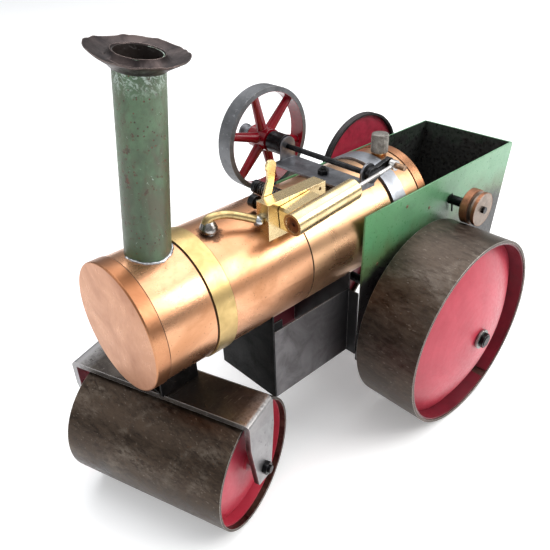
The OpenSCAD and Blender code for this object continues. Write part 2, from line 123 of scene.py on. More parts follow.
# ---- node helpers -------------------------------------------------------------
class Mat:
    """A procedural material around one Principled shader, in the frame's own coordinates."""

    def __init__(self, name, metallic=1.0):
        self.m = bpy.data.materials.new(name)
        self.m.use_nodes = True
        self.t = self.m.node_tree
        self.t.nodes.clear()
        out = self.n("ShaderNodeOutputMaterial")
        self.b = self.n("ShaderNodeBsdfPrincipled")
        self.t.links.new(self.b.outputs[0], out.inputs[0])
        self.b.inputs["Metallic"].default_value = metallic
        self.co = self.n("ShaderNodeTexCoord").outputs["Object"]

    def n(self, kind, **props):
        node = self.t.nodes.new(kind)
        for k, v in props.items():
            setattr(node, k, v)
        return node

    def put(self, socket, value):
        if isinstance(value, bpy.types.NodeSocket):
            self.t.links.new(value, socket)
        elif isinstance(value, tuple) and len(value) == 3 and socket.type == "RGBA":
            socket.default_value = (*value, 1)
        else:
            socket.default_value = value

    def set(self, **values):
        for k, v in values.items():
            self.put(self.b.inputs[k.replace("_", " ")], v)

    def vec(self, scale=(1, 1, 1), turn=(0, 0, 0), shift=(0, 0, 0)):
        node = self.n("ShaderNodeMapping")
        self.put(node.inputs["Vector"], self.co)
        self.put(node.inputs["Scale"], scale)
        self.put(node.inputs["Rotation"], turn)
        self.put(node.inputs["Location"], shift)
        return node.outputs[0]

    def noise(self, scale, detail=3.0, rough=0.55, vec=None, distort=0.0):
        node = self.n("ShaderNodeTexNoise")
        self.put(node.inputs["Vector"], vec or self.co)
        for k, v in (("Scale", scale), ("Detail", detail), ("Roughness", rough),
                     ("Distortion", distort)):
            self.put(node.inputs[k], v)
        return node.outputs[0]

    def spots(self, scale, detail, rough, lo, hi, distort=0.0):
        """Noise cut to patches: 0 below lo, 1 above hi."""
        return self.span(self.noise(scale, detail, rough, distort=distort), lo, hi)

    def times(self, a, b):
        return self.calc("MULTIPLY", a, b)

    def cells(self, scale):
        node = self.n("ShaderNodeTexVoronoi")
        self.put(node.inputs["Vector"], self.co)
        self.put(node.inputs["Scale"], scale)
        return node.outputs["Distance"]

    def span(self, value, lo, hi, a=0.0, b=1.0):
        node = self.n("ShaderNodeMapRange")
        for i, v in enumerate((value, lo, hi, a, b)):
            self.put(node.inputs[i], v)
        return node.outputs[0]

    def calc(self, op, a, b=0.0):
        node = self.n("ShaderNodeMath", operation=op)
        for i, v in enumerate((a, b)):
            self.put(node.inputs[i], v)
        return node.outputs[0]

    def mix(self, fac, a, b):
        node = self.n("ShaderNodeMix", data_type="RGBA")
        self.put(node.inputs[0], fac)
        self.put(node.inputs[6], a)
        self.put(node.inputs[7], b)
        return node.outputs[2]

    def axis(self, i, vec=None):
        node = self.n("ShaderNodeSeparateXYZ")
        self.put(node.inputs[0], vec or self.co)
        return node.outputs[i]

    def radius(self, centre, axis):
        """Distance from a line through centre along axis 0, 1 or 2."""
        keep = [1.0, 1.0, 1.0]
        keep[axis] = 0.0
        sub = self.n("ShaderNodeVectorMath", operation="SUBTRACT")
        self.put(sub.inputs[0], self.co)
        self.put(sub.inputs[1], tuple(centre))
        mul = self.n("ShaderNodeVectorMath", operation="MULTIPLY")
        self.put(mul.inputs[0], sub.outputs[0])
        self.put(mul.inputs[1], tuple(keep))
        length = self.n("ShaderNodeVectorMath", operation="LENGTH")
        self.put(length.inputs[0], mul.outputs[0])
        return length.outputs["Value"]

    def edges(self, radius):
        """1 along outside and inside edges, 0 on the flats."""
        bev = self.n("ShaderNodeBevel", samples=4)
        self.put(bev.inputs["Radius"], radius)
        geo = self.n("ShaderNodeNewGeometry")
        dot = self.n("ShaderNodeVectorMath", operation="DOT_PRODUCT")
        self.put(dot.inputs[0], bev.outputs[0])
        self.put(dot.inputs[1], geo.outputs["Normal"])
        return self.span(self.calc("SUBTRACT", 1.0, dot.outputs["Value"]), 0.02, 0.2)

    def bump(self, height, strength, distance, round_edge=0.00025):
        node = self.n("ShaderNodeBump")
        self.put(node.inputs["Strength"], strength)
        self.put(node.inputs["Distance"], distance)
        self.put(node.inputs["Height"], height)
        if round_edge:
            bev = self.n("ShaderNodeBevel", samples=4)
            self.put(bev.inputs["Radius"], round_edge)
            self.put(node.inputs["Normal"], bev.outputs[0])
        self.put(self.b.inputs["Normal"], node.outputs[0])


MATS = {}


def metal(name, colour, dark, rough=(0.2, 0.4), grain=(1, 1, 1), wear=0.5, scale=120, bump=0.15,
          bright=None):
    """Bare metal: cloudy tarnish, fine directional scratches, rubbed edges, small dark specks."""
    m = Mat(name)
    cloud = m.noise(scale, 5, 0.6, distort=0.6)
    fine = m.noise(900, 3, 0.6, vec=m.vec(grain))
    speck = m.times(m.spots(1400, 2, 0.5, 0.66, 0.74), m.spots(scale * 0.45, 4, 0.6, 0.5, 0.66))
    base = m.mix(m.span(cloud, 0.36, 0.66), colour, dark)
    base = m.mix(m.times(speck, 0.3), base, tuple(c * 0.25 for c in dark))
    edge = m.times(m.edges(0.0005), m.span(fine, 0.35, 0.6, 0.4, 1.0))
    bright = bright or tuple(min(1, c * 1.5 + 0.06) for c in colour)
    base = m.mix(m.times(edge, wear), base, bright)
    blend = m.calc("ADD", m.times(cloud, 0.6), m.times(fine, 0.4))
    m.set(Base_Color=base, Roughness=m.span(blend, 0.35, 0.65, *rough))
    m.bump(m.calc("ADD", fine, m.times(cloud, 0.8)), bump, 0.00012)
    MATS[name] = m.m


def paint(name, colour, shade, chips, chip_colour, rough, grime_amount):
    """Enamel: uneven colour, chips down to rusty metal, dirt in patches."""
    m = Mat(name, 0.0)
    cloud = m.noise(60, 4, 0.6, distort=0.4)
    fine = m.noise(500, 4, 0.65)
    base = m.mix(m.span(cloud, 0.35, 0.65), colour, shade)
    dirt = m.times(m.spots(95, 6, 0.7, 0.52, 0.72, distort=0.8), grime_amount)
    base = m.mix(dirt, base, (0.03, 0.03, 0.028))
    chip = m.times(m.spots(420, 5, 0.7, 0.62, 0.655, distort=0.5),
                   m.span(m.noise(70, 3), 0.42, 0.56))
    edge = m.times(m.edges(0.0006), m.span(fine, 0.45, 0.6))
    worn = m.calc("MINIMUM", m.calc("ADD", m.times(chip, chips), m.times(edge, 0.8)), 1.0)
    base = m.mix(worn, base, chip_colour)
    m.set(Base_Color=base, Roughness=m.span(fine, 0.35, 0.65, *rough), Metallic=m.times(worn, 0.6))
    m.bump(m.calc("SUBTRACT", m.times(fine, 0.5), worn), 0.25, 0.00012)
    MATS[name] = m.m


def dress(material, *nodes):
    """Gives CAD nodes a material of this script."""
    for n in nodes:
        o = frame["nodes"][n]
        o.data.materials.clear()
        o.data.materials.append(MATS[material])


def smooth(mesh, angle):
    """Soft shading, but for edges sharper than angle in degrees."""
    for p in mesh.polygons:
        p.use_smooth = True
    mesh.set_sharp_from_angle(angle=math.radians(angle))


def piece(name, bm, material, body, *replaced, slot, angle):
    """Makes an object that rides on a body, in place of the CAD nodes that are named."""
    bmesh.ops.recalc_face_normals(bm, faces=bm.faces)
    mesh = bpy.data.meshes.new(name)
    bm.to_mesh(mesh)
    bm.free()
    smooth(mesh, angle)
    mesh.materials.append(MATS[material])
    o = bpy.data.objects.new(name, mesh)
    scene.collection.objects.link(o)
    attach(o, body)
    if replaced:
        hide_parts(*replaced)


def ring_at(bm, centre, u, v, radius, seg):
    """A ring of points in the plane of u and v; radius in millimetres, a number or a function."""
    reach = radius if callable(radius) else lambda t: radius
    return [bm.verts.new(centre + (u * math.cos(t) + v * math.sin(t)) * reach(t) * MM)
            for t in (2 * math.pi * i / seg for i in range(seg))]


def skin(bm, pairs):
    """Quads between rings of one length, and fans where a ring is a single point."""
    for p, q in pairs:
        seg = max(len(p), len(q))
        for i in range(seg):
            j = (i + 1) % seg
            if len(p) == 1:
                bm.faces.new((p[0], q[j], q[i]))
            elif len(q) == 1:
                bm.faces.new((p[i], p[j], q[0]))
            else:
                bm.faces.new((p[i], p[j], q[j], q[i]))


def turned(bm, profile, base, direction, seg):
    """A lathe form: (radius, along) in millimetres round a line from base along direction."""
    d = Vector(direction).normalized()
    u = d.orthogonal().normalized()
    v = d.cross(u)
    rings = []
    for r, a in profile:
        centre = base + d * a * MM
        rings.append(ring_at(bm, centre, u, v, r, seg) if r else [bm.verts.new(centre)])
    skin(bm, zip(rings, rings[1:]))
    return rings


def hexagon(bm, base, direction, flats, height, hole, turn=0.0):
    """A chamfered hexagon nut with a real hole, millimetres."""
    seg, chamfer, lip, sector = 48, 0.35, 0.25, math.radians(60)
    corner = flats / math.sqrt(3)
    d = Vector(direction).normalized()
    u = d.orthogonal().normalized()
    v = d.cross(u)

    def flat(t):
        return flats / 2 / math.cos((t - turn) % sector - sector / 2)

    def cut(t):
        return min(flat(t), corner - chamfer)

    shape = ((hole, 0), (cut, 0), (flat, chamfer * 0.6), (flat, height - chamfer * 0.6),
             (cut, height), (hole + lip, height), (hole, height - lip))
    rings = [ring_at(bm, base + d * a * MM, u, v, reach, seg) for reach, a in shape]
    skin(bm, zip(rings, rings[1:] + rings[:1]))


def tube_along(bm, points, radius, seg):
    """A closed tube through points (metres) with a radius in millimetres."""
    rings, prev = [], None
    for i, p in enumerate(points):
        a, b = points[max(i - 1, 0)], points[min(i + 1, len(points) - 1)]
        d = (b - a).normalized()
        u = (prev - d * prev.dot(d)).normalized() if prev else d.orthogonal().normalized()
        prev = u
        rings.append(ring_at(bm, p, u, d.cross(u), radius, seg))
    skin(bm, zip(rings, rings[1:]))
    bm.faces.new(rings[0])
    bm.faces.new(rings[-1])


# ---- materials --------------------------------------------------------------
def mottled(name, colour, dark, pale, rough):
    """Browned steel plate: fine mottling, pale drifts, dark oil streaks, rust dots, bright rims."""
    m = Mat(name)
    stretch = (0.55, 1.6, 1.6)
    grain = m.noise(260, 8, 0.75, vec=m.vec(stretch), distort=0.4)
    drift = m.noise(26, 6, 0.68, distort=1.2)
    streak = m.noise(48, 5, 0.6, vec=m.vec(stretch, shift=(0.3, 0.1, 0.2)), distort=0.5)
    skew = m.vec(stretch, turn=(0.4, 0.2, 0.3))
    scratch = m.span(m.noise(700, 2, 0.5, vec=skew), 0.66, 0.72)
    base = m.mix(m.span(grain, 0.38, 0.62), dark, colour)
    rub = m.times(m.span(drift, 0.50, 0.66), m.span(grain, 0.40, 0.60))
    base = m.mix(m.times(rub, 0.75), base, pale)
    oil = m.span(streak, 0.56, 0.70)
    base = m.mix(m.times(oil, 0.6), base, tuple(c * 0.45 for c in dark))
    base = m.mix(m.times(scratch, 0.35), base, tuple(min(1, c * 1.6) for c in pale))
    base = m.mix(m.times(m.spots(900, 2, 0.5, 0.68, 0.73), 0.6), base, (0.10, 0.045, 0.02))
    edge = m.times(m.edges(0.0006), m.span(grain, 0.3, 0.6, 0.4, 1.0))
    base = m.mix(m.times(edge, 0.85), base, (0.60, 0.56, 0.52))
    rough_v = m.calc("ADD", m.span(grain, 0.35, 0.65, *rough), m.times(oil, -0.1))
    m.set(Base_Color=base, Roughness=rough_v, Metallic=0.85)
    m.bump(m.calc("ADD", grain, m.times(drift, 1.5)), 0.35, 0.00018)
    MATS[name] = m.m


def green_chimney():
    """Old enamel: olive and brown blotches, rust pits, pale flakes under the crown, soot inside."""
    m = Mat("green_chimney", 0.0)
    fine = m.noise(520, 5, 0.7)
    cloud = m.noise(42, 5, 0.65, vec=m.vec((1, 1, 0.45)), distort=0.6)
    low = m.span(m.axis(2), CHIMNEY_LOW, CHIMNEY_LOW + 0.075, 1.0, 0.0)
    base = m.mix(m.span(cloud, 0.38, 0.62), (0.118, 0.215, 0.118), (0.062, 0.092, 0.052))
    base = m.mix(m.times(low, 0.6), base, (0.055, 0.078, 0.040))
    blotch = m.noise(75, 7, 0.74, vec=m.vec((1, 1, 0.35)), distort=0.7)
    base = m.mix(m.times(m.span(blotch, 0.46, 0.60), 0.62), base, (0.088, 0.062, 0.042))
    base = m.mix(m.times(m.spots(210, 6, 0.72, 0.48, 0.62), 0.45), base, (0.055, 0.080, 0.048))
    rust = m.times(m.spots(300, 6, 0.7, 0.575, 0.62), m.span(m.noise(60, 3), 0.36, 0.52))
    dots = m.times(m.span(m.cells(520), 0.24, 0.14), m.span(m.noise(110, 3), 0.46, 0.54))
    pits = m.calc("MAXIMUM", rust, dots)
    rusty = m.mix(m.span(fine, 0.4, 0.6), (0.040, 0.018, 0.012), (0.12, 0.042, 0.022))
    base = m.mix(m.times(pits, 0.9), base, rusty)
    flake = m.times(m.spots(300, 6, 0.75, 0.50, 0.58, distort=1.5),
                    m.span(m.axis(2), CHIMNEY_HIGH - 0.017, CHIMNEY_HIGH - 0.008, 0.0, 1.0))
    stray = m.times(m.spots(430, 4, 0.7, 0.66, 0.70, distort=1.0), 0.4)
    base = m.mix(m.calc("MAXIMUM", flake, stray), base, (0.50, 0.60, 0.54))
    base = m.mix(m.calc("LESS_THAN", chimney_outward(m), 0.0), base, (0.020, 0.014, 0.012))
    m.set(Base_Color=base, Roughness=m.span(fine, 0.3, 0.7, 0.28, 0.50))
    m.bump(m.calc("SUBTRACT", m.times(fine, 0.6), m.times(pits, 1.2)), 0.45, 0.00022, 0)
    MATS["green_chimney"] = m.m


def chimney_outward(m):
    """Above 0 where a face looks away from the chimney's leaning axis, below 0 inside the tube."""
    normal = m.n("ShaderNodeNewGeometry").outputs["Normal"]
    height = m.calc("SUBTRACT", m.axis(2), CHIMNEY_FOOT_Z * MM)
    off_x = m.calc("SUBTRACT", m.axis(0), m.times(height, LEAN_SIDE))
    from_foot = m.calc("SUBTRACT", m.axis(1), FRONT + CHIMNEY_Y * MM)
    off_y = m.calc("SUBTRACT", from_foot, m.times(height, LEAN_BACK))
    return m.calc("ADD", m.times(off_x, m.axis(0, normal)), m.times(off_y, m.axis(1, normal)))


def green_plate():
    """Enamelled tender plate: lighter toward the rear as painted light, painted shade inside and
    low down, clean outside and high up.
    """
    m = Mat("green_plate", 0.0)
    cloud, fine = m.noise(38, 5, 0.6, distort=0.5), m.noise(500, 4, 0.65)
    # painted light: the plate's green is made lighter toward the rear of the tender
    rear = m.span(m.axis(1), TENDER_MIDDLE - 0.09, TENDER_MIDDLE + 0.05)
    base = m.mix(rear, (0.105, 0.300, 0.130), (0.215, 0.400, 0.255))
    base = m.mix(m.times(m.span(cloud, 0.40, 0.66), 0.5), base, (0.070, 0.210, 0.100))
    # painted shade: the plates go olive, then near black, low down behind and under the wheels
    height = m.calc("ADD", m.axis(2), m.span(cloud, 0.3, 0.7, -0.010, 0.010))
    base = m.mix(m.times(m.span(height, 0.123, 0.105), 0.75), base, (0.075, 0.085, 0.030))
    base = m.mix(m.span(height, 0.107, 0.097), base, (0.012, 0.011, 0.011))
    # painted shade inside the tender: the soot mask and sooty colour below darken the inner faces
    # and floor to near black, all but the front end and a strip under the top edge
    depth = m.calc("ADD", m.axis(1), m.span(cloud, 0.3, 0.7, -0.012, 0.012))
    inner_shade_along = m.times(m.span(depth, INNER_SHADE_FROM, INNER_SHADE_FROM + 0.03), 0.96)
    inner_shade_down = m.span(height, PLATE_TOP - 0.006, PLATE_TOP - 0.030)
    soot = m.times(tender_inside(m), m.calc("MINIMUM", m.calc("ADD", inner_shade_along, inner_shade_down), 1.0))
    sooty = m.mix(m.span(fine, 0.4, 0.62), (0.010, 0.010, 0.010), (0.030, 0.032, 0.030))
    base = m.mix(soot, base, sooty)
    dirt = m.times(m.spots(120, 6, 0.72, 0.56, 0.72, distort=0.8), 0.35)
    base = m.mix(dirt, base, (0.03, 0.04, 0.02))
    chip = m.times(m.spots(400, 5, 0.7, 0.64, 0.67), m.span(m.noise(60, 3), 0.46, 0.58))
    edge = m.times(m.edges(0.0005), m.span(fine, 0.40, 0.58))
    worn = m.calc("MINIMUM", m.calc("ADD", m.times(chip, 0.7), m.times(edge, 0.9)), 1.0)
    base = m.mix(worn, base, (0.050, 0.038, 0.028))
    m.set(Base_Color=base, Roughness=m.span(fine, 0.35, 0.65, 0.26, 0.44))
    m.bump(m.calc("SUBTRACT", m.times(fine, 0.5), worn), 0.25, 0.00012, 0)
    MATS["green_plate"] = m.m


def tender_inside(m):
    """1 on the tender's inner faces: sides that look inward, the back's front, the floor's top."""
    normal = m.n("ShaderNodeNewGeometry").outputs["Normal"]
    inward = m.calc("LESS_THAN", m.times(m.axis(0, normal), m.axis(0)), -0.005)
    forward = m.times(m.calc("LESS_THAN", m.axis(1, normal), -0.5),
                      m.calc("GREATER_THAN", m.axis(1), TENDER_MIDDLE))
    upward = m.times(m.calc("GREATER_THAN", m.axis(2, normal), 0.5),
                     m.calc("LESS_THAN", m.axis(2), PLATE_TOP - 0.02))
    return m.calc("MINIMUM", m.calc("ADD", m.calc("ADD", inward, forward), upward), 1.0)


def fork_steel():
    """Flat bar: browned, scratched on top; painted highlight on the bends, painted light down the
    legs.
    """
    m = Mat("fork_steel")
    cloud, fine = m.noise(52, 6, 0.68, distort=0.8), m.noise(600, 5, 0.72)
    from_king = m.n("ShaderNodeVectorMath", operation="SUBTRACT")
    m.put(from_king.inputs[0], m.co)
    m.put(from_king.inputs[1], tuple(JOINTS["steer_swivel"]["pos_m"]))
    across = m.n("ShaderNodeVectorMath", operation="DOT_PRODUCT")
    m.put(across.inputs[0], from_king.outputs[0])
    m.put(across.inputs[1], tuple(JOINTS["front_roll_spin"]["axis"]))
    reach = m.calc("ABSOLUTE", across.outputs["Value"])
    base = m.mix(m.span(cloud, 0.36, 0.64), (0.085, 0.072, 0.062), (0.036, 0.030, 0.027))
    scratch = m.times(m.span(m.noise(420, 4, 0.7, vec=m.vec((2.2, 0.5, 1))), 0.60, 0.68), 0.4)
    base = m.mix(scratch, base, (0.24, 0.21, 0.19))
    # painted light: the legs' outer parts are made light grey
    lit_leg = m.times(m.span(reach, 0.0505, 0.0520), m.span(cloud, 0.3, 0.7, 0.9, 0.6))
    base = m.mix(lit_leg, base, (0.40, 0.40, 0.41))
    # painted highlight: the bends are made paler, broken up by noise
    bend_highlight = m.times(m.span(reach, 0.0430, 0.0500), m.span(m.axis(2), 0.060, 0.068))
    base = m.mix(m.times(bend_highlight, m.span(fine, 0.35, 0.60, 0.25, 0.8)), base, (0.32, 0.31, 0.31))
    pit = m.spots(260, 5, 0.7, 0.62, 0.67)
    base = m.mix(m.times(pit, 0.7), base, (0.030, 0.022, 0.018))
    edge = m.times(m.edges(0.0006), m.span(fine, 0.3, 0.6, 0.5, 1.0))
    base = m.mix(edge, base, (0.55, 0.53, 0.52))
    m.set(Base_Color=base, Roughness=m.span(cloud, 0.35, 0.65, 0.26, 0.46), Metallic=0.9)
    m.bump(m.calc("SUBTRACT", m.calc("ADD", fine, cloud), pit), 0.3, 0.00015)
    MATS["fork_steel"] = m.m


def casing():
    """Grey sheet of the firebox, black at the rear, with dull red paint left on the far wall."""
    m = Mat("box_steel")
    cloud, fine = m.noise(60, 5, 0.62, distort=0.8), m.noise(700, 4, 0.7)
    base = m.mix(m.span(cloud, 0.36, 0.64), (0.150, 0.145, 0.150), (0.085, 0.080, 0.082))
    scuff = m.noise(240, 6, 0.75, vec=m.vec((1, 2.5, 0.6)), distort=1.0)
    base = m.mix(m.times(m.span(scuff, 0.60, 0.70), 0.35), base, (0.30, 0.28, 0.27))
    rear = m.span(m.calc("SUBTRACT", m.axis(1), FRONT), 0.108, 0.127)
    base = m.mix(m.times(rear, 0.85), base, (0.020, 0.020, 0.021))
    normal = m.n("ShaderNodeNewGeometry").outputs["Normal"]
    far_wall = m.times(m.calc("LESS_THAN", m.axis(0), CASING_RIGHT + 0.0012),
                       m.calc("GREATER_THAN", m.axis(0, normal), 0.5))
    red = m.times(far_wall, m.span(m.axis(1), FRONT + 0.082, FRONT + 0.086))
    base = m.mix(red, base, (0.13, 0.010, 0.022))
    edge = m.times(m.edges(0.0005), m.span(fine, 0.35, 0.6, 0.4, 1.0))
    base = m.mix(m.times(edge, 0.5), base, (0.42, 0.40, 0.40))
    m.set(Base_Color=base, Roughness=m.span(cloud, 0.35, 0.65, 0.36, 0.56), Metallic=0.8)
    m.bump(m.calc("ADD", fine, m.times(cloud, 2.0)), 0.2, 0.00015)
    MATS["box_steel"] = m.m


# dark lines round the barrel: distance from the boiler's front and half width, millimetres; the one
# at 160.3 is a painted shadow under the strap's front edge
SEAMS_AND_STRAP_SHADOW = ((7.25, 0.22), (33.35, 0.35), (44.35, 0.2), (94.85, 0.38), (160.3, 0.6), (172.3, 0.2),
         (184.75, 0.22))


def copper():
    """Polished copper barrel with dark lines where the caps, band, joint and strap meet it; the
    line at the strap's front edge is a painted shadow.
    """
    m = Mat("copper")
    along = m.calc("SUBTRACT", m.axis(1), FRONT)
    cloud = m.noise(34, 5, 0.6, vec=m.vec((1, 0.6, 1)), distort=0.7)
    fine = m.noise(900, 3, 0.6, vec=m.vec((0.3, 3, 3)))
    base = m.mix(m.span(cloud, 0.34, 0.66), (0.70, 0.375, 0.215), (0.50, 0.235, 0.115))
    behind_joint = m.span(along, 0.0938, 0.0950)
    base = m.mix(m.times(behind_joint, 0.45), base, (0.78, 0.52, 0.30))
    stain = m.times(m.spots(70, 6, 0.7, 0.55, 0.70, distort=1.0), 0.35)
    base = m.mix(stain, base, (0.36, 0.15, 0.07))
    base = m.mix(m.times(m.spots(1000, 2, 0.5, 0.67, 0.72), 0.5), base, (0.10, 0.05, 0.03))
    ragged = m.span(m.noise(420, 4, 0.7), 0.3, 0.7, -0.0018, 0.0018)
    flux = m.span(m.calc("ADD", m.radius(at(*OUTLET, 150), 2), ragged), 0.0072, 0.0048)
    base = m.mix(m.times(flux, 0.75), base, (0.05, 0.035, 0.03))
    lines = 0.0
    for y, half in SEAMS_AND_STRAP_SHADOW:
        off = m.calc("ABSOLUTE", m.calc("SUBTRACT", along, y * MM))
        lines = m.calc("MAXIMUM", lines, m.span(off, half * MM, (half + 0.18) * MM, 1.0, 0.0))
    # the joint lines, and the painted shadow at the strap's front edge, darken the copper
    base = m.mix(m.times(lines, 0.92), base, (0.025, 0.015, 0.012))
    dull = m.times(m.calc("MAXIMUM", lines, flux), 0.25)
    m.set(Base_Color=base, Roughness=m.calc("ADD", m.span(cloud, 0.35, 0.65, 0.25, 0.38), dull))
    m.bump(m.calc("ADD", m.times(fine, 0.05), m.noise(26, 2, 0.5)), 0.25, 0.0010, 0)
    MATS["copper"] = m.m


def two_zone(name, centre, limit, inner, outer, metallic, rough, scale):
    """A wheel: inner and outer finish, metallic and roughness, that meet at a radius about x."""
    m = Mat(name)
    rim = m.span(m.radius(centre, 0), limit - 0.0001, limit + 0.0001)
    cloud, fine = m.noise(scale, 5, 0.65, distort=0.4), m.noise(900, 4, 0.7)
    a = m.mix(m.span(cloud, 0.38, 0.66), inner, tuple(c * 0.62 for c in inner))
    b = m.mix(m.span(cloud, 0.40, 0.62), outer, tuple(c * 0.60 for c in outer))
    nick = m.times(m.spots(420, 4, 0.7, 0.62, 0.67), 0.6)
    b = m.mix(nick, b, tuple(min(1, c * 1.8) for c in outer))
    edge = m.times(m.edges(0.0005), m.span(fine, 0.4, 0.6))
    base = m.mix(rim, a, b)
    base = m.mix(m.times(edge, 0.35), base, (0.5, 0.48, 0.46))
    rough_v = m.calc("ADD", m.span(rim, 0, 1, *rough), m.span(fine, 0.35, 0.65, -0.06, 0.08))
    m.set(Base_Color=base, Metallic=m.span(rim, 0, 1, *metallic), Roughness=rough_v)
    m.bump(m.calc("ADD", fine, cloud), 0.2, 0.00012)
    MATS[name] = m.m


# ---- the finishes of this machine, then the nodes that wear them -------------
copper()
metal("copper_face", (0.52, 0.250, 0.130), (0.36, 0.150, 0.070), rough=(0.24, 0.40),
      grain=(1, 1, 0.4), wear=0.4, scale=38, bump=0.06, bright=(0.85, 0.55, 0.36))
metal("brass_sheet", (0.62, 0.44, 0.19), (0.48, 0.34, 0.14), rough=(0.26, 0.42), grain=(0.3, 3, 3))
metal("brass", (0.76, 0.60, 0.34), (0.60, 0.45, 0.23), rough=(0.20, 0.34), grain=(3, 0.3, 3),
      scale=90, bump=0.05, bright=(0.98, 0.88, 0.62))
metal("brass_dull", (0.56, 0.42, 0.20), (0.36, 0.26, 0.12), rough=(0.25, 0.45), wear=0.4, scale=260)
metal("solder", (0.62, 0.64, 0.66), (0.30, 0.31, 0.33), rough=(0.2, 0.5), wear=0.4, scale=500,
      bump=0.6)
metal("union_steel", (0.42, 0.40, 0.38), (0.08, 0.07, 0.065), rough=(0.14, 0.36), wear=0.9,
      scale=330, bright=(0.85, 0.82, 0.80))
metal("strap", (0.40, 0.42, 0.46), (0.26, 0.27, 0.29), rough=(0.3, 0.5), grain=(0.3, 3, 3),
      scale=90)
metal("bracket", (0.20, 0.205, 0.22), (0.10, 0.10, 0.11), rough=(0.34, 0.55), wear=0.6)
metal("sooty", (0.075, 0.058, 0.055), (0.030, 0.025, 0.026), rough=(0.34, 0.6), wear=0.75,
      scale=110, bright=(0.42, 0.33, 0.30), bump=0.5)
metal("black_steel", (0.030, 0.030, 0.032), (0.012, 0.012, 0.013), rough=(0.22, 0.42), wear=0.35,
      scale=160, bright=(0.30, 0.30, 0.31))
metal("flap_steel", (0.016, 0.016, 0.017), (0.006, 0.006, 0.006), rough=(0.36, 0.6), scale=70,
      bright=(0.25, 0.25, 0.26))
casing()
metal("turned_steel", (0.52, 0.51, 0.50), (0.30, 0.29, 0.28), grain=(3, 0.4, 0.4), scale=160)
fork_steel()
mottled("roll_steel", (0.072, 0.050, 0.035), (0.032, 0.022, 0.016), (0.165, 0.138, 0.112),
        rough=(0.28, 0.55))
mottled("tread_steel", (0.105, 0.080, 0.063), (0.050, 0.037, 0.029), (0.195, 0.168, 0.145),
        rough=(0.30, 0.56))
metal("plug_copper", (0.34, 0.15, 0.08), (0.16, 0.07, 0.04), rough=(0.25, 0.5), scale=300)
metal("pin_bronze", (0.34, 0.22, 0.14), (0.18, 0.11, 0.07), rough=(0.3, 0.5), wear=0.4, scale=300)
metal("cap_steel", (0.34, 0.32, 0.29), (0.18, 0.165, 0.15), rough=(0.35, 0.6), scale=300)
two_zone("flywheel", CRANK, limit=0.0274, inner=(0.26, 0.003, 0.012),
         outer=(0.17, 0.175, 0.185), metallic=(0.0, 0.75), rough=(0.16, 0.46), scale=60)
two_zone("pulley", LAY, limit=0.0353, inner=(0.42, 0.030, 0.060),
         outer=(0.030, 0.026, 0.028), metallic=(0.0, 0.5), rough=(0.34, 0.42), scale=160)
two_zone("roller", LAY, limit=0.0098, inner=(0.30, 0.235, 0.19),
         outer=(0.30, 0.13, 0.065), metallic=(0.8, 0.75), rough=(0.38, 0.42), scale=160)
metal("washer", (0.34, 0.35, 0.34), (0.20, 0.21, 0.20), rough=(0.38, 0.55), wear=0.4, scale=400)
green_chimney()
green_plate()
paint("red", (0.50, 0.045, 0.075), (0.42, 0.030, 0.055), chips=0.06,
      chip_colour=(0.2, 0.05, 0.04), rough=(0.30, 0.44), grime_amount=0.07)
paint("red_dark", (0.16, 0.012, 0.024), (0.10, 0.010, 0.018), chips=0.2,
      chip_colour=(0.1, 0.05, 0.04), rough=(0.28, 0.4), grime_amount=0.2)

for finish, nodes in {
    "copper": ("boiler_barrel",),
    "copper_face": ("boiler_front_cap", "boiler_rear_cap"),
    "brass_sheet": ("smokebox_band",),
    "strap": ("boiler_strap",),
    "green_chimney": ("chimney_tube",),
    "brass": ("valve_body", "port_block", "cylinder_block", "cylinder_tube", "valve_lever",
              "safety_valve_base"),
    "bracket": ("bearing_bracket", "drive_pulley"),
    "black_steel": ("bracket_nut", "trunnion_nut", "lever_nut", "shaft_collar", "crankshaft",
                    "crank_web", "layshaft", "perch_saddle", "rear_axle", "front_axle"),
    "green_plate": ("side_plate_left", "side_plate_right", "tender_back", "tender_floor"),
    "fork_steel": ("fork",),
    "flap_steel": ("firebox_flap",),
    "box_steel": ("firebox_casing",),
    "washer": ("rear_axle_washers",),
    "turned_steel": ("kingpin", "trunnion", "lever_spindle", "piston", "piston_rod"),
    "plug_copper": ("cylinder_plug",),
    "pin_bronze": ("crank_pin", "plate_rivets"),
    "roller": ("friction_roller",),
    "roll_steel": ("front_roll_drum",),
    "tread_steel": ("left_wheel_tread", "right_wheel_tread"),
    "red": ("left_wheel_dish", "right_wheel_dish", "front_roll_ends"),
    "pulley": ("big_pulley",),
    "flywheel": ("flywheel",),
    "red_dark": ("left_wheel_hub", "right_wheel_hub", "left_wheel_lining", "right_wheel_lining"),
}.items():
    dress(finish, *nodes)


# ---- chimney crown and solder -------------------------------------------------
MOUTH = at(2.02, 30.63, 232)
TILT = Matrix.Rotation(math.radians(9.4), 4, "Y") @ Matrix.Rotation(math.radians(-6.6), 4, "X")
# radius, height over the mouth, and how freely the sheet may wander there
CROWN_SECTION = (
    (9.25, -3.6, 0.0), (9.3, -2.4, 0.0), (9.7, 0.2, 0.5), (10.2, 0.5, 0.6), (10.7, -0.6, 0.4),
    (12.2, -1.9, 0.4), (14.4, -1.5, 0.6), (16.8, -0.6, 0.8), (18.5, 0.2, 1.0), (19.0, 0.6, 1.0),
    (19.1, 0.25, 1.0), (18.3, -0.55, 1.0), (16.4, -1.7, 0.8), (14.0, -3.1, 0.6), (12.0, -4.5, 0.4),
    (10.9, -5.6, 0.3), (10.4, -5.9, 0.2), (9.9, -4.4, 0.0))
FLARE_FROM = 12                              # radius past which the sheet wanders fully


def lobe(t, middle, sharpness):
    """A single hump round the rim: 1 at its middle angle in degrees, 0 on the far side."""
    return max(0.0, math.cos(t - math.radians(middle))) ** sharpness


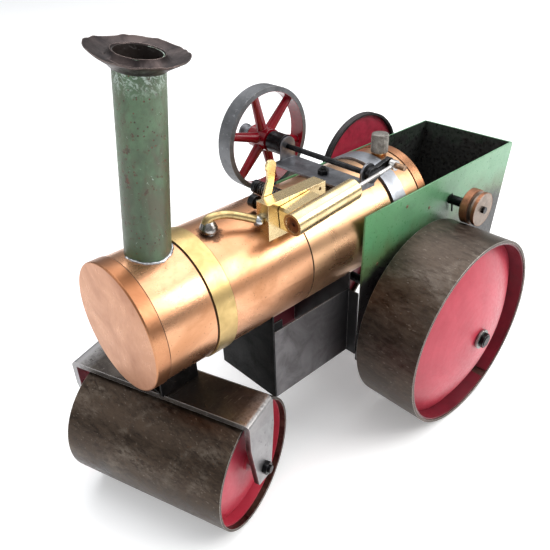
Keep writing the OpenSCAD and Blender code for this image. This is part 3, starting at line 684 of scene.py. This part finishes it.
def crown():
    """A hand-beaten funnel: torn inner lip, wavy rim drawn out to a point on one side."""
    bm, seg, rings = bmesh.new(), 144, []
    for r, z, free in CROWN_SECTION:
        ring = []
        out = free * (1.0 if r > FLARE_FROM else 0.35)
        for i in range(seg):
            t = 2 * math.pi * i / seg
            c, s = math.cos(t), math.sin(t)
            far, near, front = lobe(t, 226, 9), lobe(t, 42, 5), lobe(t, 318, 3)
            wave = (noise.noise(Vector((c, s, 0.0)) * 2.6)
                    + 0.5 * noise.noise(Vector((c, s, r * 0.06)) * 6.5))
            rr = r + out * (1.2 * far + 0.3 * near - 0.2 * front + 0.45 * wave)
            zz = z + out * (0.9 * far + 0.2 * near - 0.7 * front + 0.75 * wave)
            ring.append(bm.verts.new(MOUTH + TILT @ Vector((rr * c, rr * s, zz)) * MM))
        rings.append(ring)
    skin(bm, zip(rings, rings[1:] + rings[:1]))
    piece("crown_sheet", bm, "sooty", "chassis", "chimney_crown", angle=50, slot="sooty_sheet")


def roughen(bm, scale, amount):
    """Pushes every point about by smooth noise, amount in metres."""
    for v in bm.verts:
        v.co += noise.noise_vector(v.co * scale) * amount


def chimney_solder():
    """A run of solder round the foot of the chimney, where its tube meets the barrel."""
    run_r, steps = 10.5, 60
    bm, pts = bmesh.new(), []
    for i in range(steps + 1):
        t = math.radians(-95 + 170 * i / steps)
        z = BOILER_Z + BARREL_R
        for _ in range(3):                   # closes in on the point where both surfaces meet
            x = (z - CHIMNEY_FOOT_Z) * LEAN_SIDE + run_r * math.cos(t)
            y = CHIMNEY_Y + (z - CHIMNEY_FOOT_Z) * LEAN_BACK + run_r * math.sin(t)
            z = BOILER_Z + math.sqrt(BARREL_R ** 2 - x ** 2)
        pts.append(at(x, y, z + 0.15 * noise.noise(Vector((i * 0.3, 0, 0)))))
    tube_along(bm, pts, 0.75, 10)
    roughen(bm, 700, 0.00030)
    piece("chimney_solder", bm, "solder", "chassis", angle=60, slot="turned_steel")


# ---- steam pipe, spring, cap and nuts ------------------------------------------
PIPE = ((6.2, 49.4, 154.6), (6.3, 50.8, 156.6), (6.9, 54.0, 157.3), (8.7, 60.2, 156.7),
        (12.2, 66.4, 154.6), (17.3, 74.2, 151.2))
SOLDER_LUMP = ((0, -2.2), (2.2, -2.2), (2.7, -1.2), (2.75, -0.2), (2.5, 0.5), (0, 0.5))
UNION = ((0, 29.5), (3.0, 29.5), (3.0, 31.2), (4.1, 31.3), (4.25, 31.8), (4.25, 33.4), (4.0, 33.9),
         (2.9, 36.0), (2.5, 36.4), (0, 36.5))
CAP = ((0, 0.5), (1.15, 0.5), (1.15, 7.8), (4.1, 7.8), (4.1, 4.2), (4.7, 4.2), (5.0, 4.6),
       (5.0, 14.0), (4.7, 14.8), (3.9, 15.0), (0, 15.0))
KNURLED = slice(6, 8)                        # the cap's two outer rings
PIPE_R = 2.0
WIRE_R = 0.42                                # of the coil spring
# nuts: across flats, height, hole
AXLE_NUT = (8, 2.4, 3.0)
FORK_NUT = (6.4, 2.6, 2.0)
AXLE_NUT_X = 85.4
KING_NUT_Z = 76.2
FORK_NUT_X = (52, -57.2)                     # left and right ends of the front axle


def spline(points, steps=10):
    """A Catmull-Rom curve through the points."""
    pts = [2 * points[0] - points[1], *points, 2 * points[-1] - points[-2]]
    out = []
    for a, b, c, d in zip(pts, pts[1:], pts[2:], pts[3:]):
        for k in range(steps):
            t = k / steps
            out.append(0.5 * ((2 * b) + (c - a) * t + (2 * a - 5 * b + 4 * c - d) * t * t
                              + (3 * b - a - 3 * c + d) * t ** 3))
    return out + [points[-1]]


def steam_way():
    """The bent pipe, the lump of solder at its end and the union it rises from."""
    bm = bmesh.new()
    tube_along(bm, spline([at(*p) for p in PIPE]), PIPE_R, 20)
    piece("steam_pipe_bent", bm, "brass_dull", "chassis", "steam_pipe", angle=60, slot="pipe_brass")

    bm = bmesh.new()
    turned(bm, SOLDER_LUMP, at(16.6, 73.0, 151.5), (0.42, 0.78, -0.30), 28)
    roughen(bm, 500, 0.0006)
    piece("pipe_solder", bm, "solder", "chassis", angle=60, slot="turned_steel")

    bm = bmesh.new()
    turned(bm, UNION, at(*OUTLET, BOILER_Z), (0, 0, 1), 60)
    piece("outlet_union", bm, "union_steel", "chassis", "steam_outlet", angle=28,
          slot="fluxed_brass")


def coil_spring():
    """A true helix round the trunnion, nine turns."""
    turns, per_turn, radius = 9, 48, 3.0
    start, length = -3.5, 16.4
    steps = turns * per_turn
    bm, coil = bmesh.new(), []
    for i in range(steps + 1):
        t = math.radians(i * 360 / per_turn)
        coil.append(at(start + length * i / steps, PIVOT[0] + radius * math.cos(t),
                       PIVOT[1] + radius * math.sin(t)))
    tube_along(bm, coil, WIRE_R, 10)
    piece("coil_spring", bm, "black_steel", "cylinder", "trunnion_spring", angle=60,
          slot="blacked_steel")


def knurled_cap():
    """The safety valve's hollow cap, with every second point of its skirt drawn in."""
    bm = bmesh.new()
    rings = turned(bm, CAP, at(*VALVE, BOILER_Z + 28), (0, 0, 1), 96)
    axis = at(*VALVE, 0)
    for ring in rings[KNURLED]:
        for v in ring[1::2]:
            v.co -= Vector((v.co.x - axis.x, v.co.y - axis.y, 0)) * 0.06
    piece("knurled_cap", bm, "cap_steel", "safety_valve", "safety_valve_cap", angle=25,
          slot="knurled_steel")


def nuts():
    """Nuts on both ends of the rear axle, on the kingpin and on both ends of the front axle."""
    bm = bmesh.new()
    for side in (1, -1):
        hexagon(bm, at(side * AXLE_NUT_X, *AXLE), (side, 0, 0), *AXLE_NUT, turn=0.3)
    piece("axle_nuts", bm, "black_steel", "chassis", "rear_axle_nuts", angle=32, slot="dark_nut")

    steer = (Matrix.Translation(at(0, KING_Y, 0))
             @ Matrix.Rotation(math.radians(STEER_DEG), 4, "Z"))
    across = steer.to_3x3() @ Vector((1, 0, 0))
    bm = bmesh.new()
    for x, z, direction, turn in ((0, KING_NUT_Z, (0, 0, 1), 0.0),
                                  (FORK_NUT_X[0], ROLL_R, across, 0.2),
                                  (FORK_NUT_X[1], ROLL_R, -across, 0.5)):
        hexagon(bm, steer @ Vector((x * MM, 0, z * MM)), direction, *FORK_NUT, turn=turn)
    piece("fork_nuts", bm, "black_steel", "steering", "steering_nuts", angle=32, slot="dark_nut")


# ---- stage ----------------------------------------------------------------------
def floor_sheet():
    """White paper under the model, faintly lit so that it fades into the background."""
    half_size, below_wheels = 6, 0.0002
    bm = bmesh.new()
    bmesh.ops.create_grid(bm, x_segments=1, y_segments=1, size=half_size)
    mesh = bpy.data.meshes.new("floor")
    bm.to_mesh(mesh)
    bm.free()
    floor = bpy.data.objects.new("floor", mesh)
    scene.collection.objects.link(floor)
    floor.location.z = -below_wheels
    m = Mat("floor_paper", 0.0)
    paper = m.mix(m.span(m.noise(3, 2), 0.3, 0.7), (0.93, 0.935, 0.94), (0.91, 0.915, 0.92))
    m.set(Base_Color=paper, Roughness=0.7, Emission_Color=(1.0, 1.0, 1.0), Emission_Strength=0.24)
    mesh.materials.append(m.m)


def studio_world():
    """Light that grows from a dim floor level to a bright ceiling, on a pale background."""
    world = bpy.data.worlds.new("studio")
    scene.world = world
    world.use_nodes = True
    tree = world.node_tree
    tree.nodes.clear()

    def node(kind, *values):
        made = tree.nodes.new(kind)
        for i, v in values:
            if isinstance(v, bpy.types.NodeSocket):
                tree.links.new(v, made.inputs[i])
            else:
                made.inputs[i].default_value = v
        return made

    direction = node("ShaderNodeTexCoord").outputs["Generated"]
    height = node("ShaderNodeSeparateXYZ", (0, direction)).outputs[2]
    rise = node("ShaderNodeMapRange", (0, height), (1, -0.05), (2, 0.85)).outputs[0]
    shade = tree.nodes.new("ShaderNodeMix")
    shade.data_type = "RGBA"
    tree.links.new(rise, shade.inputs[0])
    shade.inputs[6].default_value = (0.20, 0.19, 0.18, 1)
    shade.inputs[7].default_value = (0.95, 0.97, 1.0, 1)
    light = node("ShaderNodeBackground", (0, shade.outputs[2]), (1, 0.75)).outputs[0]
    pale = node("ShaderNodeBackground", (0, (0.96, 0.965, 0.97, 1)), (1, 1.0)).outputs[0]
    seen = node("ShaderNodeLightPath").outputs["Is Camera Ray"]
    both = node("ShaderNodeMixShader", (0, seen), (1, light), (2, pale)).outputs[0]
    node("ShaderNodeOutputWorld", (0, both))


noise.seed_set(4)      # without a seed the noise vectors start from the clock
make_camera()
crown()
chimney_solder()
steam_way()
coil_spring()
knurled_cap()
nuts()
floor_sheet()
studio_world()
area_light("sky_panel", (-0.2, 0.3, 1.4), (0, 0.1, 0.0), (1.8, 1.6), 20)
area_light("side_panel", (0.95, 0.80, 0.95), (0, 0, 0.1), (0.85, 0.7), 15, (1, 0.985, 0.96))
area_light("front_panel", (-0.6, -1.1, 0.7), (0, 0, 0.1), (0.7, 0.5), 2.5)

scene.view_settings.view_transform = "Standard"
scene.view_settings.look = "None"
